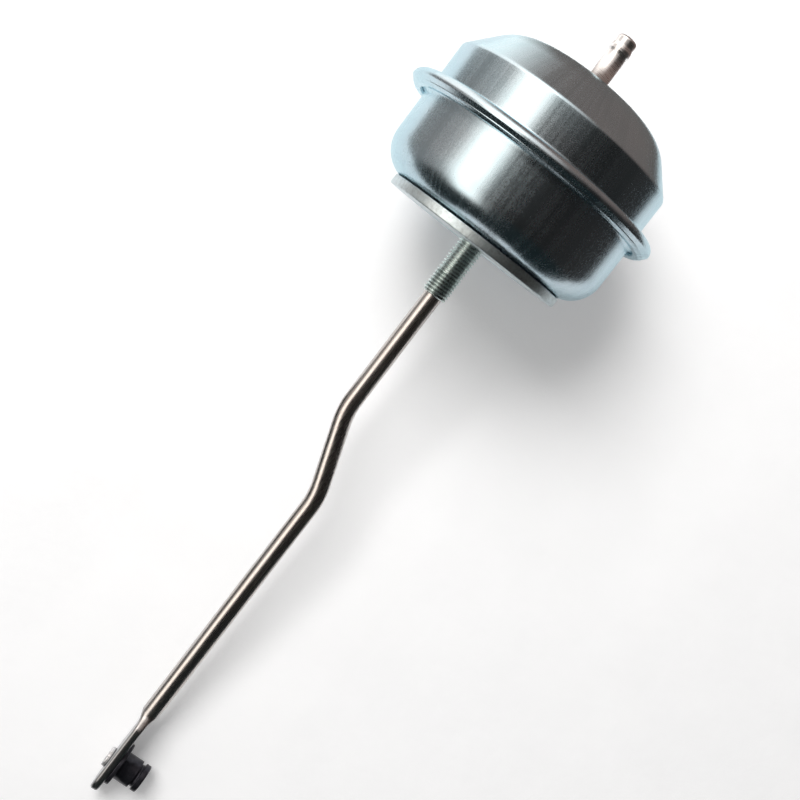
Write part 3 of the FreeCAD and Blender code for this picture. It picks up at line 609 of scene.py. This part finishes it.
def threaded_neck():
    """Neck whose outline follows the helix of a right-hand thread."""
    low, high, columns = NECK_LOW, 0.0, 72
    shares = (0.0, 0.0625, 0.14, 0.22, 0.30, 0.375, 0.42, 0.58, 0.625, 0.70, 0.78, 0.86, 0.9375)
    turns = int(high - low) + 3
    inside = soften([
        (SHANK, high), (SHANK, PLATE_TOP + SHEET), (COLLAR, PLATE_TOP + SHEET),
        (COLLAR, COLLAR_TOP, 0.4), (BOSS, COLLAR_TOP), (BOSS, BOSS_TOP, 0.4),
        (BOSS_BORE, BOSS_TOP, 0.3), (BOSS_BORE, BOSS_FLOOR), (NECK_BORE, BOSS_FLOOR),
        (NECK_BORE, low, 0.3)])
    points = []
    faces = []
    for i in range(columns + 1):
        angle = TURN * i / columns
        column = []
        for k in range(turns):
            for share in shares:
                height = low - 1.6 + k + share + i / columns
                height = min(max(height, low), high)
                radius = min(thread_radius(share), BEVELLED + height - low)
                if height == low:
                    radius = BEVELLED
                if height == high:
                    radius = CREST
                column.append((radius, height))
        for radius, height in column + inside:
            points.append((radius * math.cos(angle), radius * math.sin(angle), height))
    count = turns * len(shares) + len(inside)
    for i in range(columns):
        for k in range(count):
            nxt = (k + 1) % count
            here, after = i * count, (i + 1) * count
            faces.append((here + k, after + k, after + nxt, here + nxt))
    return finish_mesh("neck_with_thread", points, faces)


dress(threaded_neck(), "threaded_neck", "housing", "zinc_neck")


# --------------------------------------------------------------- nipple

nipple = soften([
    (NIPPLE_BORE, 50.0), (FOOT, 50.0, 0.2), (FOOT, DOME_TOP - SHEET), (SEAT, DOME_TOP - SHEET),
    (SEAT, SEAT_TOP, 0.15), (TUBE, SEAT_TOP), (TUBE, 63.85, 0.3), (BARB, 64.55, 0.3),
    (BARB, 65.45, 0.3), (TIP, 66.55, 0.4), (TIP, NIPPLE_TOP, 0.85), (NIPPLE_BORE, NIPPLE_TOP, 0.15),
])
dress(spin("hose_nipple_tube", nipple, 96), "hose_nipple", "housing", "nipple_steel")


def run_of_braze(radius, angle):
    """Uneven outer edge of the brass."""
    uneven = 0.93 + 0.04 * math.sin(3 * angle + 0.6) + 0.03 * math.sin(7 * angle)
    return SEAT + (radius - SEAT) * uneven


fillet = [(SEAT, DOME_TOP), (SEAT + BRAZE, DOME_TOP)]
fillet += arc(SEAT + BRAZE, DOME_TOP + BRAZE, BRAZE, -90, -180, 10)[1:]
dress(spin("brass_fillet", fillet, 96, run_of_braze), "nipple_braze", "housing", "braze")


# ------------------------------------------------------------------ rod

def path_points():
    """Centre and slant of the rod from its head down to the eye."""
    across = BEND * (1 - math.cos(SLANT))
    down = BEND * math.sin(SLANT)
    run = (OFFSET - 2 * across) / math.tan(SLANT)
    low = BEND_START - down - run - down
    steps = 14
    stations = []
    for i in range(steps + 1):
        angle = SLANT * i / steps
        stations.append((BEND * (1 - math.cos(angle)), BEND_START - BEND * math.sin(angle), angle))
    for i in range(steps + 1):
        angle = SLANT * (steps - i) / steps
        stations.append((OFFSET - BEND * (1 - math.cos(angle)),
                         low + BEND * math.sin(angle), angle))
    return stations


def eye_thickness(y, z):
    """Half thickness of the flat eye, rounded along its edge."""
    reach = EYE_HALF - (abs(y) if z > EYE_LOW else math.hypot(y, z - EYE_LOW))
    if reach >= EYE_ROUND:
        return EYE_THICK
    rounded = EYE_ROUND ** 2 - (EYE_ROUND - max(reach, 0.0)) ** 2
    return EYE_THICK - EYE_ROUND + math.sqrt(max(rounded, 0.0))


def eye_ring(z, count):
    """Section of the flat eye at one height."""
    half = EYE_HALF
    if z <= EYE_LOW:
        half = math.sqrt(max(EYE_HALF ** 2 - (z - EYE_LOW) ** 2, 0.0))
    ring = []
    for i in range(count):
        angle = TURN * i / count
        y = half * math.sin(angle)
        ring.append((math.copysign(eye_thickness(y, z), math.cos(angle)), y))
    return ring


def bent_rod():
    """Headed rod with an S-bend, pressed flat at its low end."""
    count = 64
    rings = []
    head = soften([
        (0.0, ROD_TOP), (HEAD, ROD_TOP, 1.35), (HEAD, 47.0), (SPIGOT, 47.0), (SPIGOT, 41.1),
        (ROD, 41.1, 0.2), (ROD, -53.0), (0.0, -53.0)])[1:-1]
    for radius, height in head:
        rings.append((0.0, height, 0.0, round_ring(radius, count)))
    for x, z, angle in path_points():
        rings.append((x, z, angle, round_ring(ROD, count)))
    rings.append((OFFSET, -164.2, 0.0, round_ring(ROD, count)))
    for i in range(17):
        share = i / 16
        z = TAPER_START - TAPER_LENGTH * share
        blend = share * share * (3 - 2 * share)
        ring = []
        for (x1, y1), (x2, y2) in zip(round_ring(ROD, count), eye_ring(z, count)):
            ring.append((x1 + (x2 - x1) * blend, y1 + (y2 - y1) * blend))
        rings.append((OFFSET, z, 0.0, ring))
    flat_heights = [-170.5 - 1.8 * i for i in range(11)]
    round_heights = [EYE_LOW - EYE_HALF * math.sin(math.radians(90.0 * i / 19.4))
                     for i in range(20)]
    for z in flat_heights + round_heights:
        rings.append((OFFSET, z, 0.0, eye_ring(z, count)))
    points = []
    for x, z, angle, ring in rings:
        for across, y in ring:
            points.append((x + across * math.cos(angle), y, z + across * math.sin(angle)))
    faces = []
    for k in range(len(rings) - 1):
        for i in range(count):
            nxt = (i + 1) % count
            near, far = k * count, (k + 1) * count
            faces.append((near + i, near + nxt, far + nxt, far + i))
    faces.append(tuple(range(count)))
    faces.append(tuple((len(rings) - 1) * count + i for i in range(count)))
    return finish_mesh("bent_rod", points, faces)


def cut_pin_hole(piece):
    """Bore for the pin through the flat eye."""
    ring = 48
    play = 0.01
    points = []
    for x in (OFFSET - 4.0, OFFSET + 4.0):
        for across, up in round_ring(PIN_SHANK + play, ring):
            points.append((x, across, PIN_Z + up))
    faces = [(i, (i + 1) % ring, ring + (i + 1) % ring, ring + i) for i in range(ring)]
    faces.append(tuple(range(ring)))
    faces.append(tuple(range(ring, 2 * ring)))
    cutter = finish_mesh("pin_hole_cutter", points, faces)
    cut = piece.modifiers.new("pin_hole", "BOOLEAN")
    cut.operation = "DIFFERENCE"
    cut.solver = "EXACT"
    cut.object = cutter
    bpy.context.view_layer.update()
    ready = piece.evaluated_get(bpy.context.evaluated_depsgraph_get())
    mesh = bpy.data.meshes.new_from_object(ready)
    piece.modifiers.clear()
    piece.data = mesh
    bpy.data.objects.remove(cutter)


rod = bent_rod()
cut_pin_hole(rod)
dress(rod, "actuator_rod", "rod_group", "rod_steel")


# ------------------------------------------------------------------ pin

# Drawn along its own axis from the middle of the eye: riveted end, shank, flange,
# journal, clip groove and free end.
pin = spin("lever_pin", soften([
    (0.0, -2.6), (PIN_RIVET, -2.6, 0.55), (PIN_RIVET, -EYE_THICK), (PIN_SHANK, -EYE_THICK),
    (PIN_SHANK, EYE_THICK), (PIN_FLANGE, EYE_THICK, 0.25), (PIN_FLANGE, 2.5, 0.25),
    (JOURNAL, 2.5), (JOURNAL, 7.6, 0.15), (CLIP_GROOVE, 7.6), (CLIP_GROOVE, 8.7),
    (JOURNAL, 8.7, 0.15), (JOURNAL, 10.4, 0.5), (0.0, 10.4),
]), 96)
to_eye = Matrix.Translation((OFFSET * MM, 0, PIN_Z * MM))
pin.data.transform(to_eye @ Matrix.Rotation(math.pi / 2, 4, "Y"))
dress(pin, "pivot_pin", "rod_group", "black_steel")


# --------------------------------------------------------------- spring

def coil_spring():
    """Coil with ground ends."""
    low_corner, high_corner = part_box("return_spring")
    bottom, top = low_corner[2] / MM, high_corner[2] / MM
    wire, ground, turns = 1.7, 0.5, 6.5
    middle = high_corner[0] / MM - wire
    climb = top - bottom - 2 * (wire - ground)
    steps, ring = 312, 16
    points = []
    faces = []
    for i in range(steps + 1):
        angle = TURN * turns * i / steps
        height = bottom + wire - ground + climb * i / steps
        for across, up in round_ring(wire, ring):
            radius = middle + across
            z = min(max(height + up, bottom), top)
            points.append((radius * math.cos(angle), radius * math.sin(angle), z))
    for i in range(steps):
        for k in range(ring):
            nxt = (k + 1) % ring
            faces.append((i * ring + k, i * ring + nxt, (i + 1) * ring + nxt, (i + 1) * ring + k))
    faces.append(tuple(range(ring)))
    faces.append(tuple(steps * ring + k for k in range(ring)))
    spring = finish_mesh("coil_spring", points, faces)
    dress(spring, "return_spring", "housing", "spring_steel")
    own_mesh(spring)


coil_spring()


# ---------------------------------------------------------- floor, room

def seen_rays(tree):
    """One for rays from the camera, a mirror or through glass, zero for the others."""
    rays = tree.nodes.new("ShaderNodeLightPath")
    seen = rays.outputs["Is Camera Ray"]
    for other in ("Is Glossy Ray", "Is Transmission Ray"):
        larger = tree.nodes.new("ShaderNodeMath")
        larger.operation = "MAXIMUM"
        tree.links.new(seen, larger.inputs[0])
        tree.links.new(rays.outputs[other], larger.inputs[1])
        seen = larger.outputs[0]
    return seen


def floor_sheet():
    """Pale sheet that the object lies on; it can be looked through from below."""
    f = Finish("floor_sheet")
    mottle = f.noise(0.05, 5.0, 0.6)
    specks = f.noise(0.25, 3.0, 0.6, seed=7.0)
    f.colour(f.ramp(mottle, [(0.3, (0.90, 0.90, 0.905)), (0.7, (0.93, 0.93, 0.935))]))
    f.rough(f.spread(specks, 0.3, 0.7, 0.7, 0.85))
    f.bump((specks, 0.25, 0.4), (f.noise(1.2, 3.0, 0.6), 0.15, 0.1))
    f.shader.inputs["Emission Color"].default_value = (1.0, 1.0, 1.0, 1.0)
    f.put(f.shader.inputs["Emission Strength"], f.math("MULTIPLY", seen_rays(f.tree), 0.17))
    clear = f.add("ShaderNodeBsdfTransparent")
    side = f.add("ShaderNodeNewGeometry").outputs["Backfacing"]
    both = f.add("ShaderNodeMixShader", Fac=side)
    f.put(both.inputs[1], f.shader.outputs["BSDF"])
    f.put(both.inputs[2], clear.outputs["BSDF"])
    f.put(f.tree.nodes["Material Output"].inputs["Surface"], both.outputs[0])
    return f.material


def make_floor():
    """Wide disc under the object."""
    ring = 96
    radii = (150.0, 400.0, 900.0, 1800.0)
    points = [(0.0, 0.0, 0.0)]
    for radius in radii:
        points += [(x, y, 0.0) for x, y in round_ring(radius, ring)]
    faces = []
    for i in range(ring):
        nxt = (i + 1) % ring
        faces.append((0, 1 + i, 1 + nxt))
        for k in range(len(radii) - 1):
            near, far = 1 + k * ring, 1 + (k + 1) * ring
            faces.append((near + i, far + i, far + nxt, near + nxt))
    floor = finish_mesh("floor", points, faces)
    if floor.data.polygons[0].normal.z < 0:
        floor.data.flip_normals()
    floor.data.materials.append(floor_sheet())
    floor.matrix_world = Matrix.Translation(FLOOR_AT) @ FLOOR_TURN


def edge_of_box(turn, left, right, low, high):
    """Distance from the middle to the edge of a box in the direction turn."""
    across, up = math.cos(turn), math.sin(turn)
    reach = 1e6
    if abs(across) > 1e-6:
        reach = min(reach, (right if across > 0 else left) / across)
    if abs(up) > 1e-6:
        reach = min(reach, (high if up > 0 else low) / up)
    return reach


def by_angle(finish, side, stops):
    """Level by the angle round the part's axis, from stops of (degrees, level)."""
    return finish.ramp(side, [((angle + 180) / 360.0, level) for angle, level in stops])


def room_levels():
    """Light of the room: by the angle round the part's axis, then by the height along it."""
    f = Finish("room_card")
    across = f.add("ShaderNodeMath", {"operation": "ARCTAN2"})
    f.put(across.inputs[0], f.x)
    f.put(across.inputs[1], f.math("MULTIPLY", f.y, -1.0))
    turn = across.outputs[0]
    side = f.spread(turn, -math.pi, math.pi, 0.0, 1.0)
    level = by_angle(f, side, [
        (-180, 0.42), (-128, 0.50), (-112, 0.42), (-98, 0.26), (-86, 0.26), (-76, 0.34),
        (-60, 0.30), (-48, 0.14), (-19, 0.03), (-8, 0.015), (38, 0.015), (82, 0.03), (97, 0.045),
        (108, 0.07), (120, 0.13), (180, 0.42)])
    lift = f.math("DIVIDE", f.z, f.vector_length(f.place))
    ceiling = f.spread(lift, 0.35, 0.8, 0.0, 1.0)
    level = f.mix(ceiling, level, (0.225, 0.18, 0.165))
    high = f.math("MULTIPLY", f.spread(lift, 0.22, 0.38, 0.0, 1.0),
                  f.spread(lift, 0.78, 0.94, 1.0, 0.0))
    left = f.spread(turn, math.radians(-25), math.radians(25), 1.0, 0.0)
    level = f.mix(f.math("MULTIPLY", high, left), level, (1.55, 1.55, 1.52))
    low = f.spread(lift, -0.45, -0.62, 0.0, 1.0)
    level = f.mix(low, level, (0.012, 0.02, 0.022))
    level = f.mix(1.0, level, (1.0, 0.93, 0.90), "MULTIPLY")
    window = by_angle(f, side, [
        (-180, 0.0), (-64, 0.0), (-55, 0.4), (-47, 1.0), (-27, 1.0), (-18, 0.0), (180, 0.0)])
    tall = f.math("MULTIPLY", f.spread(lift, -0.80, -0.66, 0.0, 1.0),
                  f.spread(lift, 0.5, 0.8, 1.0, 0.0))
    window = f.mix(f.math("MULTIPLY", tall, window), (0.0, 0.0, 0.0), (2.25, 2.08, 1.92))
    level = f.mix(1.0, level, window, "ADD")
    glow = f.add("ShaderNodeEmission", Color=level, Strength=1.0)
    f.put(f.tree.nodes["Material Output"].inputs["Surface"], glow.outputs[0])
    return f.material


def make_room_card():
    """Dim tent over the floor that only reflections see, open round the object's foot."""
    radius, rings, ring = 1300.0, 25, 120
    points = []
    for k in range(rings):
        angle = math.radians(90.0 - k * 88.0 / (rings - 1))
        height = radius * math.sin(angle)
        points += [(x, y, height) for x, y in round_ring(radius * math.cos(angle), ring)]
    for i in range(ring):
        turn = TURN * i / ring
        reach = max(edge_of_box(turn, -125.0, 125.0, -88.0, 55.0),
                    edge_of_box(turn, -35.0, 45.0, -235.0, 20.0))
        points.append((reach * math.cos(turn), reach * math.sin(turn), 3.0))
    faces = []
    for k in range(rings):
        near, far = k * ring, (k + 1) * ring
        for i in range(ring):
            nxt = (i + 1) % ring
            faces.append((near + i, near + nxt, far + nxt, far + i))
    card = finish_mesh("room_card", points, faces)
    card.data.transform(FLOOR_TURN)
    card.data.materials.append(room_levels())
    card.location = FLOOR_AT
    card.visible_camera = False
    card.visible_diffuse = False
    card.visible_shadow = False
    card.visible_transmission = False
    card.visible_volume_scatter = False


make_floor()
make_room_card()


# ------------------------------------------------------- light and view

def make_key_light():
    """Soft box that lights the floor and the matt pieces; metal shows the room instead."""
    light = bpy.data.lights.new("key_light", "AREA")
    light.shape = "SQUARE"
    light.size = 0.50
    light.energy = 7.8
    light.color = (1.0, 0.99, 0.98)
    place = Vector((-0.42, -0.66, 0.42))
    back = place.normalized()
    side = Vector((0, 0, 1)).cross(back).normalized()
    turn = Matrix((side, back.cross(side), back)).transposed()
    lamp = link("key_light", light)
    lamp.matrix_world = Matrix.Translation(place) @ turn.to_4x4()
    lamp.visible_glossy = False


def make_world():
    """White to the eye, dimmer as a light."""
    world = bpy.data.worlds.new("studio")
    bpy.context.scene.world = world
    world.use_nodes = True
    tree = world.node_tree
    level = tree.nodes.new("ShaderNodeMapRange")
    tree.links.new(seen_rays(tree), level.inputs["Value"])
    level.inputs["To Min"].default_value = 0.28
    level.inputs["To Max"].default_value = 1.0
    background = tree.nodes["Background"]
    background.inputs["Color"].default_value = (1.0, 1.0, 1.0, 1.0)
    tree.links.new(level.outputs["Result"], background.inputs["Strength"])


def make_camera():
    """Camera from which the part looks as in its picture."""
    picture, focal = 800.0, 990.05
    lens = bpy.data.cameras.new("photo_camera")
    lens.sensor_width = 36.0
    lens.lens = lens.sensor_width * focal / picture
    lens.shift_x = -0.0724
    lens.clip_start = 0.01
    lens.clip_end = 20.0
    right = Vector((0.791424, -0.018845, 0.610981))
    down = Vector((0.601505, -0.153904, -0.783904))
    forward = Vector((0.108811, 0.987906, -0.110466))
    place = Vector((-7.035, -276.6, -5.547)) * MM
    turn = Matrix((right, -down, -forward)).transposed()
    camera = link("photo_camera", lens)
    camera.matrix_world = Matrix.Translation(place) @ turn.to_4x4()
    bpy.context.scene.camera = camera


make_key_light()
make_world()
make_camera()
bpy.context.scene.view_settings.view_transform = "Standard"
